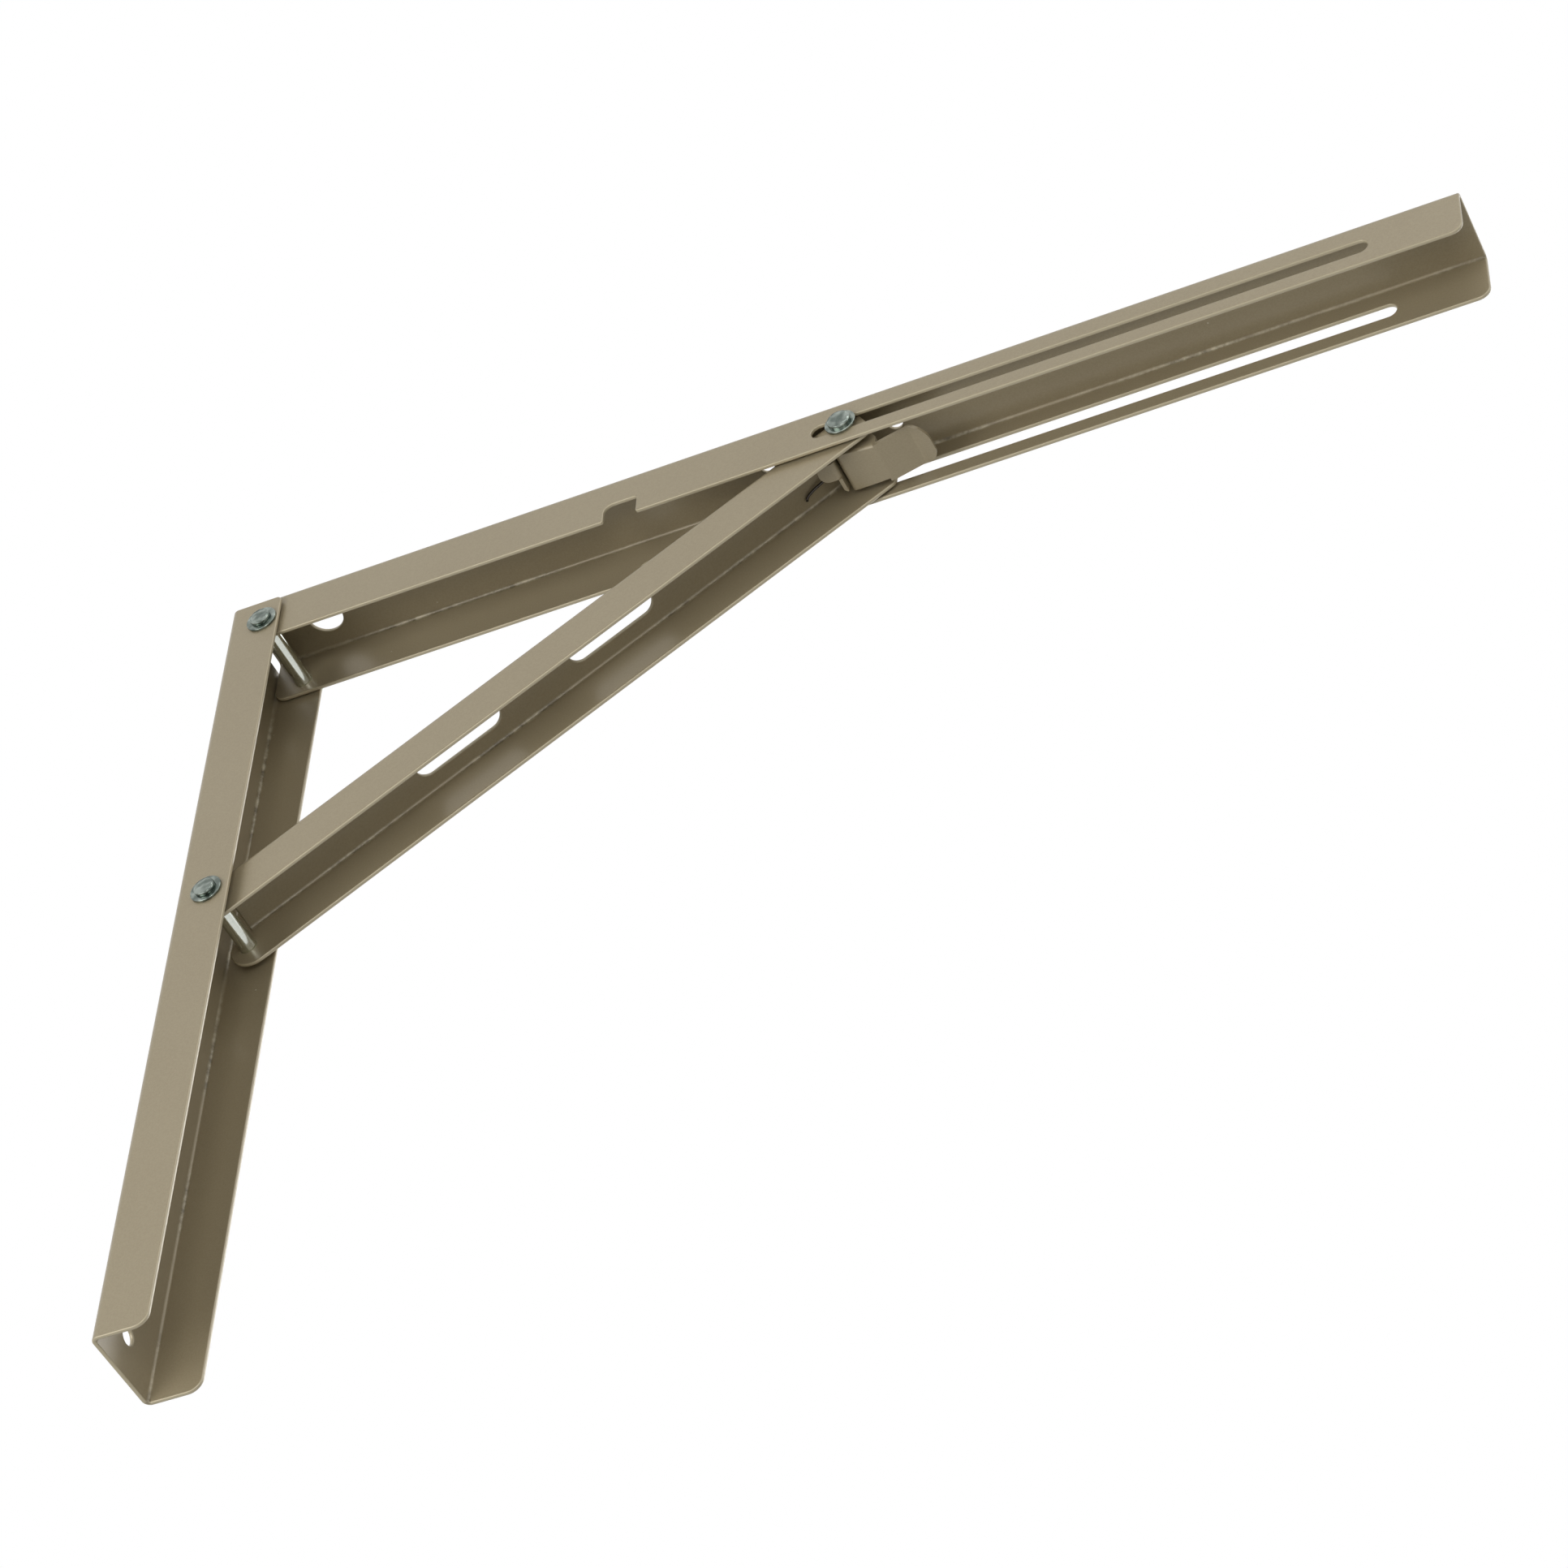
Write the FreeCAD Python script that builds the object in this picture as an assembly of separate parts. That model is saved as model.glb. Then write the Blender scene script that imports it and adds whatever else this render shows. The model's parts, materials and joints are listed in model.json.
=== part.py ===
import FreeCAD, Part
import math
import os
from FreeCAD import Rotation, Vector

# Folding bracket for a drop leaf table, drawn open, as when it holds the leaf up.
# Sizes are in millimetres. X points away from the wall, Y runs along the wall and Z is up.
# The origin lies on the wall face, in the middle of the width and level with the upper pivot.
# Near means the side at negative Y, far the side at positive Y.

# Sheet steel of the three channels
sheet = 1.5
bend_inner_r = 1.2

# Wall channel, which is screwed upright to the wall or to the table's leg
wall_width = 34.0
wall_depth = 20.0
wall_above = 10.9
wall_below = 325.0
wall_head_corner_r = 2.0
wall_foot_corner_r = 5.0
wall_foot_screw = 14.4

# Support arm, which carries the leaf
arm_side_gap = 0.8
arm_heel_gap = 0.9
arm_rise = 14.9
arm_depth = 21.5
arm_heel_corner_r = 5.0
arm_toe_corner_r = 4.5
arm_toe_land = 31.7

# Strut between the wall channel and the arm
strut_side_gap = 0.9
strut_back = 8.5
strut_depth = 18.3
strut_tail = 6.9
strut_tail_r = 8.0
strut_tail_back_r = 5.5
strut_nose = 7.0
strut_nose_drop = 4.2
strut_nose_r = 4.5
strut_nose_top_r = 2.2
strut_web_setback = 13.0
strut_window_start = 79.5
strut_window_length = 34.6
strut_window_width = 9.3
strut_window_pitch = 64.1
strut_windows = 2

# Pivots and pins
pin_d = 6.0
pin_play = 0.05
upper_pivot_x = 13.8
lower_pivot_x = 12.0
pivot_drop = 136.0
side_play = 0.1
washer_d = 11.4
washer_thick = 1.0
washer_edge_r = 0.25
peen_d = 7.6
peen_height = 1.7
peen_edge_r = 1.0
head_d = 11.6
head_height = 2.0
head_edge_r = 1.3

# Slot in both flanges of the arm, and the slider that runs in it
slot_rise = 2.6
slot_play = 0.15
slot_slack_heel = 8.1
slot_slack_toe = 6.7
locked_slide = 221.6
slider_gap = 0.3
slider_washer_d = 11.2
slider_peen_d = 8.5

# Notch that lets the folded arm pass over the lower pivot
notch_width = 12.4
notch_gap = 0.4
notch_trail_r = 1.0

# Screw holes and the hole that the screwdriver goes through
screw_hole_d = 6.0
driver_hole_d = 12.6
driver_hole_reach = 14.3
leaf_hole_d = 5.0
leaf_hole_reach = 187.0
leaf_hole_pitch = 48.0

# Release lever of the latch, measured from the slider's pin
lever_sheet = 1.5
lever_width = 16.3
lever_edge_r = 2.0
lever_inner_r = 1.25
lever_heel = 5.4
lever_heel_drop = 7.5
lever_belly = 9.9
lever_belly_drop = 8.8
lever_knee = 21.8
lever_knee_drop = 5.2
lever_tip = 27.6
lever_tip_drop = 7.9
lever_tip_taper = 0.75
lever_tip_flat = 2.0
lever_fold_r = 1.8
lever_heel_wall = 4.2
lever_ear_rise = 4.6
lever_ear_corner_r = 3.1
lever_ear_setback = 0.75
lever_ear_front = 4.6
lever_side_rise = 4.6

# Catch plate, hung on the slider's pin inside the lever
catch_sheet = 1.3
catch_gap = 0.65
catch_side_gap = 0.15
catch_drop = 9.1
catch_rise = 2.4
catch_saddle_drop = 0.6
catch_ear_rise = 4.3
catch_ear_front = 4.3
catch_ear_back = 1.4
catch_ear_top_r = 3.6
catch_ear_low_r = 1.9
catch_ear_gap = 0.3
catch_tongue = 5.8
catch_tongue_width = 7.0
catch_tongue_flat = 0.65
catch_bend_r = 0.6

# Torsion spring round the slider's pin
wire_d = 1.0
coil_play = 0.4
coil_turns = 5
coil_pitch = 1.06
spring_seat_gap = 0.25
web_leg_reach = 12.0
web_leg_hook = 2.0
floor_leg_reach = 8.0

# Overlap given to cutting tools so that they pass right through, and the shortest edge worth drawing
over = 1.0
shortest_edge = 1e-6

# What follows from the sizes above
bend_outer_r = bend_inner_r + sheet
pin_r = pin_d / 2
pin_hole_r = pin_r + pin_play
arm_width = wall_width - 2 * (sheet + arm_side_gap)
strut_width = arm_width - 2 * (sheet + strut_side_gap)
arm_free_edge = arm_rise - arm_depth
arm_heel = upper_pivot_x - sheet - arm_heel_gap
upper_pivot = Vector(upper_pivot_x, 0, 0)
lower_pivot = Vector(lower_pivot_x, 0, -pivot_drop)
slider = upper_pivot + Vector(locked_slide, 0, slot_rise)
strut_run = slider - lower_pivot
strut_length = strut_run.Length
strut_angle = math.degrees(math.atan2(strut_run.z, strut_run.x))

# With the arm folded down, its slot stands upright this far in front of the lower pivot
folded_offset = upper_pivot_x + slot_rise - lower_pivot_x
folded_slide = pivot_drop + math.sqrt(strut_length**2 - folded_offset**2)
slot_width = pin_d + 2 * slot_play
slot_start = locked_slide - slot_slack_heel
slot_end = folded_slide + slot_slack_toe
arm_toe = slot_end + pin_r + arm_toe_land

strut_free_edge = strut_back - strut_depth
strut_lug_top = strut_back - bend_outer_r
window_centres = [
    strut_window_start + strut_window_length / 2 + i * strut_window_pitch for i in range(strut_windows)
]


def closed_outline(corners, place):
    """Face inside straight sides; each corner is (a, b, radius), and place turns (a, b) into a point."""
    edges = []
    ends = []
    count = len(corners)
    for i in range(count):
        corner = Vector(corners[i][0], corners[i][1], 0)
        radius = corners[i][2]
        before = Vector(corners[i - 1][0], corners[i - 1][1], 0) - corner
        after = Vector(corners[(i + 1) % count][0], corners[(i + 1) % count][1], 0) - corner
        before.normalize()
        after.normalize()
        if radius == 0:
            ends.append((corner, None, corner))
            continue
        half = before.getAngle(after) / 2
        back = radius / math.tan(half)
        middle = (before + after).normalize() * (radius / math.sin(half) - radius)
        ends.append((corner + before * back, corner + middle, corner + after * back))
    for i in range(count):
        start, middle, finish = ends[i]
        if middle is not None:
            edges.append(Part.Arc(place(start), place(middle), place(finish)).toShape())
        following = ends[(i + 1) % count][0]
        if (following - finish).Length > shortest_edge:
            edges.append(Part.LineSegment(place(finish), place(following)).toShape())
    return Part.Face(Part.Wire(edges))


def side_prism(corners, width):
    """Outline seen from the side, in X and Z, made into a block of this width across the middle."""
    face = closed_outline(corners, lambda p: Vector(p.x, -width / 2, p.y))
    return face.extrude(Vector(0, width, 0))


def plan_prism(corners, low, high):
    """Outline seen from above, in X and Y, made into a block from one height to another."""
    face = closed_outline(corners, lambda p: Vector(p.x, p.y, low))
    return face.extrude(Vector(0, 0, high - low))


def turned(corners):
    """Solid of revolution about Y from an outline of (radius, y, corner radius)."""
    face = closed_outline(corners, lambda p: Vector(p.x, p.y, 0))
    return face.revolve(Vector(0, 0, 0), Vector(0, 1, 0), 360)


def cross_bore(radius, x, z, width):
    """Cylinder along Y, longer than the width that it has to pierce."""
    return Part.makeCylinder(radius, width + 2 * over, Vector(x, -width / 2 - over, z), Vector(0, 1, 0))


def web_bore(radius, x, web_face):
    """Cylinder along Z through a web whose outer face is at this height."""
    return Part.makeCylinder(radius, sheet + 2 * over, Vector(x, 0, web_face - sheet - over), Vector(0, 0, 1))


def channel(start, end, web_face, width, depth):
    """Bent sheet channel along X, open downward, with its web's outer face at this height."""
    half = width / 2
    free = web_face - depth
    section = [
        (-half, free, 0),
        (-half, web_face, bend_outer_r),
        (half, web_face, bend_outer_r),
        (half, free, 0),
        (half - sheet, free, 0),
        (half - sheet, web_face - sheet, bend_inner_r),
        (sheet - half, web_face - sheet, bend_inner_r),
        (sheet - half, free, 0),
    ]
    face = closed_outline(section, lambda p: Vector(start, p.x, p.y))
    return face.extrude(Vector(end - start, 0, 0))


def wall_channel():
    """Drawn lying along X with its web up, then stood upright with the web on the wall."""
    body = channel(-wall_below, wall_above, 0, wall_width, wall_depth)
    profile = [
        (-wall_below, over, 0),
        (wall_above, over, 0),
        (wall_above, -wall_depth, wall_head_corner_r),
        (-wall_below, -wall_depth, wall_foot_corner_r),
    ]
    body = body.common(side_prism(profile, wall_width))
    cuts = [
        cross_bore(pin_hole_r, 0, -upper_pivot_x, wall_width),
        cross_bore(pin_hole_r, -pivot_drop, -lower_pivot_x, wall_width),
    ]
    top_screw = -driver_hole_reach
    foot_screw = wall_foot_screw - wall_below
    for height in (top_screw, (top_screw + foot_screw) / 2, foot_screw):
        cuts.append(web_bore(screw_hole_d / 2, height, 0))
    body = body.cut(cuts)
    body.rotate(Vector(0, 0, 0), Vector(0, 1, 0), -90)
    return body


def support_arm():
    """Drawn about the upper pivot, with X along the arm."""
    body = channel(-arm_heel, arm_toe, arm_rise, arm_width, arm_depth)
    profile = [
        (-arm_heel, arm_rise + over, 0),
        (arm_toe, arm_rise + over, 0),
        (arm_toe, arm_free_edge, arm_toe_corner_r),
        (-arm_heel, arm_free_edge, arm_heel_corner_r),
    ]
    body = body.common(side_prism(profile, arm_width))
    slot_r = slot_width / 2
    slot = [
        (slot_start - pin_r, slot_rise - slot_r, slot_r),
        (slot_end + pin_r, slot_rise - slot_r, slot_r),
        (slot_end + pin_r, slot_rise + slot_r, slot_r),
        (slot_start - pin_r, slot_rise + slot_r, slot_r),
    ]
    notch_lead_r = pin_r + notch_gap
    notch_start = pivot_drop - notch_lead_r
    notch_roof = lower_pivot_x - upper_pivot_x + notch_lead_r
    notch = [
        (notch_start, arm_free_edge - over, 0),
        (notch_start + notch_width, arm_free_edge - over, 0),
        (notch_start + notch_width, notch_roof, notch_trail_r),
        (notch_start, notch_roof, notch_lead_r),
    ]
    cuts = [
        side_prism(slot, arm_width + 2 * over),
        side_prism(notch, arm_width + 2 * over),
        cross_bore(pin_hole_r, 0, 0, arm_width),
        web_bore(driver_hole_d / 2, driver_hole_reach, arm_rise),
    ]
    for place in (leaf_hole_reach, leaf_hole_reach + leaf_hole_pitch):
        cuts.append(web_bore(leaf_hole_d / 2, place, arm_rise))
    body = body.cut(cuts)
    body.translate(upper_pivot)
    return body


def strut():
    """Drawn about the lower pivot with X towards the slider, then tilted to its place."""
    end = strut_length + strut_nose
    body = channel(-strut_tail, end, strut_back, strut_width, strut_depth)
    profile = [
        (-strut_tail, strut_free_edge, strut_tail_r),
        (-strut_tail, strut_lug_top, strut_tail_back_r),
        (strut_web_setback, strut_lug_top, 0),
        (strut_web_setback, strut_back + over, 0),
        (strut_length, strut_back + over, 0),
        (strut_length, strut_lug_top, 0),
        (end, strut_lug_top - strut_nose_drop, strut_nose_top_r),
        (end, strut_free_edge, strut_nose_r),
    ]
    body = body.common(side_prism(profile, strut_width))
    cuts = [cross_bore(pin_hole_r, place, 0, strut_width) for place in (0, strut_length)]
    for centre in window_centres:
        half = strut_window_length / 2
        side = strut_window_width / 2
        window = [
            (centre - half, -side, side),
            (centre + half, -side, side),
            (centre + half, side, side),
            (centre - half, side, side),
        ]
        cuts.append(plan_prism(window, strut_back - sheet - over, strut_back + over))
    body = body.cut(cuts)
    body.rotate(Vector(0, 0, 0), Vector(0, 1, 0), -strut_angle)
    body.translate(lower_pivot)
    return body


def pivot_rivet(pivot):
    """Rivet across the wall channel: pressed head on the far side, upset end and washer on the near side."""
    face = wall_width / 2
    seat = -face - washer_thick
    end = seat - peen_height
    profile = [
        (0, end, 0),
        (peen_d / 2, end, peen_edge_r),
        (peen_d / 2, seat, 0),
        (pin_r, seat, 0),
        (pin_r, face, 0),
        (head_d / 2, face, 0),
        (head_d / 2, face + head_height, head_edge_r),
        (0, face + head_height, 0),
    ]
    body = turned(profile)
    body.translate(pivot)
    return body


def washer(diameter, outer_face, centre):
    """Flat round washer with its inner face this far out on the near side."""
    profile = [
        (pin_hole_r, -outer_face - washer_thick, 0),
        (diameter / 2, -outer_face - washer_thick, washer_edge_r),
        (diameter / 2, -outer_face, 0),
        (pin_hole_r, -outer_face, 0),
    ]
    body = turned(profile)
    body.translate(centre)
    return body


def slider_near_end():
    """Upset end of the sliding rivet, with the stub that runs in the near slot."""
    seat = -arm_width / 2 - side_play - washer_thick
    end = seat - peen_height
    profile = [
        (0, end, 0),
        (slider_peen_d / 2, end, peen_edge_r),
        (slider_peen_d / 2, seat, 0),
        (pin_r, seat, 0),
        (pin_r, -strut_width / 2 - slider_gap, 0),
        (0, -strut_width / 2 - slider_gap, 0),
    ]
    body = turned(profile)
    body.translate(slider)
    return body


def slider_far_end():
    """Pressed head of the sliding rivet, with the stub that runs in the far slot."""
    face = arm_width / 2 + side_play
    profile = [
        (0, strut_width / 2 + slider_gap, 0),
        (pin_r, strut_width / 2 + slider_gap, 0),
        (pin_r, face, 0),
        (head_d / 2, face, 0),
        (head_d / 2, face + head_height, head_edge_r),
        (0, face + head_height, 0),
    ]
    body = turned(profile)
    body.translate(slider)
    return body


def slider_cross_pin():
    """Middle of the sliding rivet, from one outer face of the strut to the other."""
    body = Part.makeCylinder(pin_r, strut_width, Vector(0, -strut_width / 2, 0), Vector(0, 1, 0))
    body.translate(slider)
    return body


def latch_lever():
    """Sheet lever below the slider: two ears on the pin, a shallow tray, and a cranked thumb tab."""
    heel_x = -lever_heel
    inner_heel_x = heel_x + lever_sheet
    tray = [
        (heel_x, -lever_heel_drop, lever_edge_r),
        (lever_belly, -lever_belly_drop, 0),
        (lever_belly, -lever_belly_drop + lever_side_rise, lever_edge_r),
        (lever_ear_front, lever_ear_rise, lever_ear_corner_r),
        (heel_x + lever_ear_setback, lever_ear_rise, lever_ear_corner_r),
        (heel_x + lever_ear_setback, -lever_heel_wall, 0),
        (heel_x, -lever_heel_wall, 0),
    ]
    half = lever_width / 2
    floor = -max(lever_heel_drop, lever_belly_drop)
    section = [
        (-half, lever_ear_rise + over, 0),
        (-half, floor, lever_edge_r),
        (half, floor, lever_edge_r),
        (half, lever_ear_rise + over, 0),
    ]
    outer = closed_outline(section, lambda p: Vector(heel_x - over, p.x, p.y))
    outer = outer.extrude(Vector(lever_belly - heel_x + 2 * over, 0, 0))
    body = side_prism(tray, lever_width).common(outer)
    hollow = [
        (inner_heel_x, -lever_heel_drop + lever_sheet, lever_inner_r),
        (lever_belly + over, -lever_belly_drop + lever_sheet, 0),
        (lever_belly + over, lever_ear_rise + over, 0),
        (inner_heel_x, lever_ear_rise + over, 0),
    ]
    body = body.cut(side_prism(hollow, lever_width - 2 * lever_sheet))
    rear_cut = [
        (heel_x - over, -lever_heel_wall, 0),
        (inner_heel_x + over, -lever_heel_wall, 0),
        (inner_heel_x + over, lever_ear_rise + over, 0),
        (heel_x - over, lever_ear_rise + over, 0),
    ]
    body = body.cut(side_prism(rear_cut, lever_width - 2 * lever_sheet))

    tab = [
        (lever_belly - over, -lever_belly_drop, 0),
        (lever_belly, -lever_belly_drop, 0),
        (lever_knee, -lever_knee_drop, lever_fold_r),
        (lever_tip, -lever_tip_drop, 0),
        (lever_tip, -lever_tip_drop + lever_sheet, 0),
        (lever_knee, -lever_knee_drop + lever_sheet, lever_fold_r + lever_sheet),
        (lever_belly, -lever_belly_drop + lever_sheet, 0),
        (lever_belly - over, -lever_belly_drop + lever_sheet, 0),
    ]
    tip_half = half - lever_tip_taper
    tip_r = tip_half - lever_tip_flat / 2
    plan = [
        (lever_belly - 2 * over, -half, 0),
        (lever_knee, -half, 0),
        (lever_tip, -tip_half, tip_r),
        (lever_tip, tip_half, tip_r),
        (lever_knee, half, 0),
        (lever_belly - 2 * over, half, 0),
    ]
    tab_body = side_prism(tab, lever_width).common(plan_prism(plan, -2 * lever_belly_drop, 0))
    body = body.fuse(tab_body).removeSplitter()
    body = body.cut(cross_bore(pin_hole_r, 0, 0, lever_width))
    body.translate(slider)
    return body


def catch_plate():
    """Small channel hung on the slider's pin: two ears, a cross plate behind the lever, and a low tongue."""
    right = -lever_heel - catch_gap
    left = right - catch_sheet
    half = lever_width / 2 - lever_sheet - catch_side_gap
    plan = [
        (left, -half, catch_bend_r + catch_sheet),
        (catch_ear_front, -half, 0),
        (catch_ear_front, catch_sheet - half, 0),
        (right, catch_sheet - half, catch_bend_r),
        (right, half - catch_sheet, catch_bend_r),
        (catch_ear_front, half - catch_sheet, 0),
        (catch_ear_front, half, 0),
        (left, half, catch_bend_r + catch_sheet),
    ]
    ear_floor = catch_ear_gap - lever_heel_wall
    profile = [
        (left, -catch_drop, 0),
        (right, -catch_drop, 0),
        (right, ear_floor, 0),
        (catch_ear_front, ear_floor, catch_ear_low_r),
        (catch_ear_front, catch_ear_rise, catch_ear_top_r),
        (-catch_ear_back, catch_ear_rise, catch_sheet),
        (left, catch_rise, catch_sheet / 2),
    ]
    body = plan_prism(plan, -catch_drop - over, catch_ear_rise + over)
    body = body.common(side_prism(profile, lever_width))
    tongue_end = left - catch_tongue
    near = -half
    far = near + catch_tongue_width
    tongue_r = (catch_tongue_width - catch_tongue_flat) / 2
    tongue = [
        (tongue_end, near, tongue_r),
        (right, near, 0),
        (right, far, 0),
        (tongue_end, far, tongue_r),
    ]
    bend_top = catch_sheet + catch_bend_r - catch_drop
    bent = [
        (right, bend_top, 0),
        (right, -catch_drop, catch_bend_r + catch_sheet),
        (tongue_end, -catch_drop, 0),
        (tongue_end, catch_sheet - catch_drop, 0),
        (left, catch_sheet - catch_drop, catch_bend_r),
        (left, bend_top, 0),
    ]
    strip = side_prism(bent, lever_width).common(plan_prism(tongue, -catch_drop - over, bend_top + over))
    beside = [
        (left - over, near - over, 0),
        (right + over, near - over, 0),
        (right + over, far, 0),
        (left - over, far, 0),
    ]
    body = body.cut(plan_prism(beside, -catch_drop - over, bend_top))
    body = body.fuse(strip).removeSplitter()
    saddle = [
        (left - over, -catch_saddle_drop, 0),
        (right + catch_bend_r, -catch_saddle_drop, 0),
        (right + catch_bend_r, catch_ear_rise + over, 0),
        (left - over, catch_ear_rise + over, 0),
    ]
    saddle_width = 2 * (half - catch_sheet - catch_bend_r)
    body = body.cut([side_prism(saddle, saddle_width), cross_bore(pin_hole_r, 0, 0, lever_width)])
    body.translate(slider)
    return body


def latch_spring():
    """Torsion spring: a coil on the slider's pin, one leg to the strut's web and one to the lever's floor."""
    radius = pin_r + coil_play + wire_d / 2
    web_level = strut_back - sheet - spring_seat_gap - wire_d / 2
    tilt = Rotation(Vector(0, 0, 1), strut_angle)
    web_end = tilt.multVec(Vector(-web_leg_reach, web_level, 0))
    floor_slope = (lever_belly_drop - lever_heel_drop) / (lever_belly + lever_heel)
    floor_drop = lever_heel_drop + floor_slope * (lever_heel + floor_leg_reach)
    floor_end = Vector(floor_leg_reach, lever_sheet + spring_seat_gap + wire_d / 2 - floor_drop, 0)
    leave_web = math.atan2(web_end.y, web_end.x) - math.acos(radius / web_end.Length)
    leave_floor = math.atan2(floor_end.y, floor_end.x) + math.acos(radius / floor_end.Length)
    turns = coil_turns + (leave_web - leave_floor) / (2 * math.pi)
    height = coil_pitch * turns
    helix = Part.makeHelix(coil_pitch, height, radius)
    helix.rotate(Vector(0, 0, 0), Vector(0, 0, 1), math.degrees(leave_floor))
    start = Vector(radius * math.cos(leave_floor), radius * math.sin(leave_floor), 0)
    finish = Vector(radius * math.cos(leave_web), radius * math.sin(leave_web), height)
    web_end.z = height
    legs = [
        (floor_end, start),
        (finish, web_end),
        (web_end, web_end + Vector(0, 0, web_leg_hook)),
    ]
    wire_r = wire_d / 2
    direction = Vector(-math.sin(leave_floor), math.cos(leave_floor), coil_pitch / (2 * math.pi * radius))
    ring = Part.Wire(Part.makeCircle(wire_r, start, direction))
    body = Part.Wire(helix.Edges).makePipeShell([ring], True, True)
    for foot, top in legs:
        run = top - foot
        body = body.fuse(Part.makeCylinder(wire_r, run.Length, foot, run))
    body = body.fuse([Part.makeSphere(wire_r, point) for point in (start, finish, web_end)])
    body.translate(Vector(0, 0, -height / 2))
    body.rotate(Vector(0, 0, 0), Vector(1, 0, 0), 90)
    body = body.mirror(Vector(0, 0, 0), Vector(0, 1, 0))
    body.translate(slider)
    return body


def parts():
    """Every piece by name."""
    return {
        "wall_channel": wall_channel(),
        "support_arm": support_arm(),
        "strut": strut(),
        "upper_pivot_rivet": pivot_rivet(upper_pivot),
        "upper_pivot_washer": washer(washer_d, wall_width / 2, upper_pivot),
        "lower_pivot_rivet": pivot_rivet(lower_pivot),
        "lower_pivot_washer": washer(washer_d, wall_width / 2, lower_pivot),
        "slider_near_end": slider_near_end(),
        "slider_washer": washer(slider_washer_d, arm_width / 2 + side_play, slider),
        "slider_far_end": slider_far_end(),
        "slider_cross_pin": slider_cross_pin(),
        "latch_lever": latch_lever(),
        "latch_catch_plate": catch_plate(),
        "latch_spring": latch_spring(),
    }


os.makedirs("parts", exist_ok=True)
for name, shape in parts().items():
    solids = shape.Solids
    if len(solids) != 1 or not shape.isValid():
        raise ValueError(name + " is not one sound solid")
    solids[0].exportStep("parts/" + name + ".step")
    print(name, round(shape.Volume, 1))
print("slider travel from open to folded", round(folded_slide - locked_slide, 3))
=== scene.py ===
import json
import math

import bmesh
import bpy
from mathutils import Matrix, Vector


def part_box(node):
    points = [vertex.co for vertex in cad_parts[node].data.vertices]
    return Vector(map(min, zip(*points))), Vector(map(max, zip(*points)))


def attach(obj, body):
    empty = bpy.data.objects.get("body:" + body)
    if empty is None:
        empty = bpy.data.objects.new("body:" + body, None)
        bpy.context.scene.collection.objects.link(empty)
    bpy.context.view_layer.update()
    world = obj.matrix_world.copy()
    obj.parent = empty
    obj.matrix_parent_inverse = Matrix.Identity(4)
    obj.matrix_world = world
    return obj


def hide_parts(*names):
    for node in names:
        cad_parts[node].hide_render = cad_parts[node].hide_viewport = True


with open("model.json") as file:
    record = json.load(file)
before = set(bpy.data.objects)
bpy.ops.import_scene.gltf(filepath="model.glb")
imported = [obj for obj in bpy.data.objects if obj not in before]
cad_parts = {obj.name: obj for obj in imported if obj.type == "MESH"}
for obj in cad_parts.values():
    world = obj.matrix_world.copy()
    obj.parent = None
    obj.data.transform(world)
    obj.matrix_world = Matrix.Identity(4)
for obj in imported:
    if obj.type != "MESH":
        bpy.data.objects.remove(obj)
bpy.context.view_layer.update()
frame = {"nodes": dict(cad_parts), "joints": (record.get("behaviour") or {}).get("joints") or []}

# The camera stands below the bracket on its near side and looks up into the three open channels.
# The lens is long, so the channels narrow little with distance, and the picture is square.
camera_place = Vector((0.6508, -0.8516, -1.1983))
camera_target = Vector((0.1977, 0.0317, -0.1142))
camera_right = Vector((0.9070, 0.4195, 0.0372))
camera_lens_mm = 103.576

forward = (camera_target - camera_place).normalized()
camera_up = camera_right.cross(forward).normalized()
camera_right = forward.cross(camera_up)
camera = bpy.data.objects.new("camera", bpy.data.cameras.new("camera"))
camera.data.lens = camera_lens_mm
camera.matrix_world = Matrix.Translation(camera_place) @ Matrix(
    (
        (camera_right.x, camera_up.x, -forward.x, 0),
        (camera_right.y, camera_up.y, -forward.y, 0),
        (camera_right.z, camera_up.z, -forward.z, 0),
        (0, 0, 0, 1),
    )
)
bpy.context.scene.collection.objects.link(camera)
bpy.context.scene.camera = camera
bpy.context.scene.view_settings.view_transform = "Standard"

# The studio is a pale floor far below the bracket, a white surround that metal mirrors, and five soft square
# lamps. The main one stands left of the camera, as the shading of the release lever's facets shows. The rest
# stand over the camera, higher on the near side, past the arm's toe, and behind.
floor_drop = 1.95
floor_half = 60.0
floor_glow = 0.75
surround_light = 0.21
studio_centre = Vector((0.21, 0.0, -0.16))
# Each lamp has a name, its direction from the studio's centre, its distance and size in metres, and watts.
lamps = (
    ("main_lamp", Vector((-0.50, -0.69, -0.48)), 1.8, 1.2, 14.8),
    ("camera_side_lamp", Vector((0.30, -0.80, -0.48)), 1.8, 0.8, 7.5),
    ("upper_lamp", Vector((0.30, -0.70, 0.60)), 1.8, 0.9, 5.0),
    ("leaf_side_lamp", Vector((0.90, -0.25, 0.25)), 1.8, 1.4, 5.0),
    ("back_lamp", Vector((0.25, 0.80, 0.50)), 1.9, 1.4, 16.0),
)


def srgb(code, alpha=1.0):
    """Linear colour from an sRGB hex code such as B3A78B."""
    channels = [int(code[i : i + 2], 16) / 255 for i in (0, 2, 4)]
    return [c / 12.92 if c <= 0.04045 else ((c + 0.055) / 1.055) ** 2.4 for c in channels] + [alpha]


def add(tree, kind, inputs=None, **settings):
    """Adds a node, with its settings; an input that is given a socket is linked to it."""
    node = tree.nodes.new(kind)
    for name, value in settings.items():
        setattr(node, name, value)
    for key, value in (inputs or {}).items():
        if isinstance(value, bpy.types.NodeSocket):
            tree.links.new(value, node.inputs[key])
        else:
            node.inputs[key].default_value = value
    return node


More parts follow.
